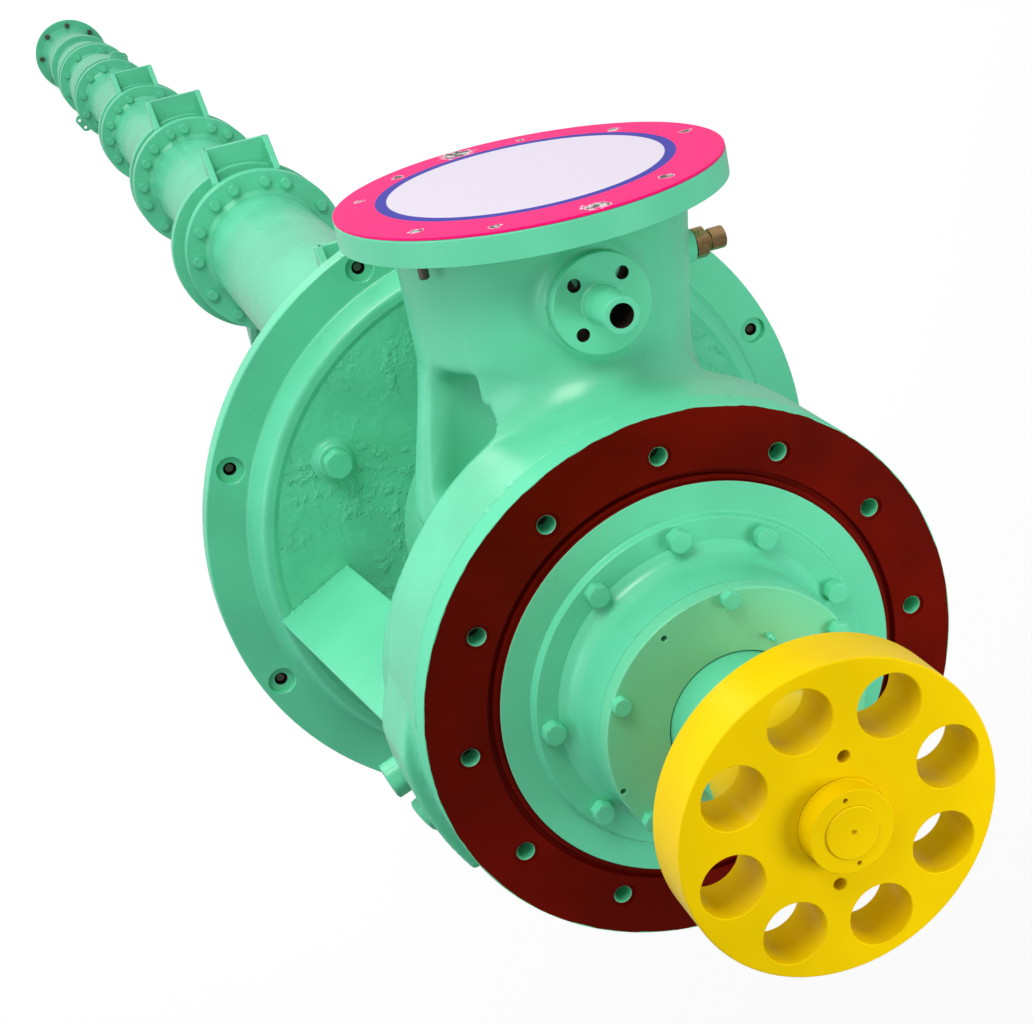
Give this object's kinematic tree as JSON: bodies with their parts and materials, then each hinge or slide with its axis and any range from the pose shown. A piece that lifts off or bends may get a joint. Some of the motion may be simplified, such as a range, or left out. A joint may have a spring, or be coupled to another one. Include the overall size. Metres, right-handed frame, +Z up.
{
  "type": "vertical column pump",
  "caption": "Long vertical turbine pump: flanged column and bowls under a round base flange, cast discharge head with side branch and motor stool, and a pin coupling half on its shaft.",
  "frame": {"origin": "centre of the base flange's underside, on the shaft's axis", "axes": "+Z up along the shaft to the coupling, +X out of the discharge branch, +Y completes the right-handed frame"},
  "size_m": [1.234, 1.12, 9.174],
  "materials": {
    "enamel": "sea green gloss enamel over cast iron and steel",
    "primer": "oxide red primer, semi-gloss",
    "yellow": "yellow gloss enamel",
    "steel": "turned steel",
    "brass": "machined brass",
    "bronze": "cast bronze",
    "film": "pink film over a transport cover"
  },
  "bodies": {
    "pump_body": {"base_flange": "enamel", "base_hex_plug": "enamel", "discharge_head": "enamel", "stool_side_plug_1": "enamel", "stool_side_plug_2": "enamel", "stool_leg_left": "enamel", "stool_leg_right": "enamel", "discharge_flange": "enamel", "discharge_cover": "film", "tapping_flange": "enamel", "tapping_nozzle": "enamel", "brass_bushing": "brass", "brass_plug": "brass", "motor_flange": "primer", "bearing_plate": "enamel", "bearing_housing": "enamel", "bearing_cover": "enamel", "column_pipe_1": "enamel", "column_pipe_2": "enamel", "column_pipe_3": "enamel", "column_pipe_4": "enamel", "column_pipe_5": "enamel", "bowl_1": "enamel", "bowl_2": "enamel", "suction_casing": "enamel", "bracket_1_front": "enamel", "bracket_1_rear": "enamel", "bracket_2_front": "enamel", "bracket_2_rear": "enamel", "bracket_3_front": "enamel", "bracket_3_rear": "enamel", "bracket_4_front": "enamel", "bracket_4_rear": "enamel"},
    "rotor": {"drive_shaft": "yellow", "line_shaft": "steel", "shaft_sleeve": "enamel", "coupling_half": "yellow", "impeller": "bronze"}
  },
  "joints": [
    {"name": "shaft_spin", "type": "hinge", "parent": "pump_body", "child": "rotor", "pos_m": [0, 0, 0], "axis": [0, 0, 1], "continuous": true}
  ]
}
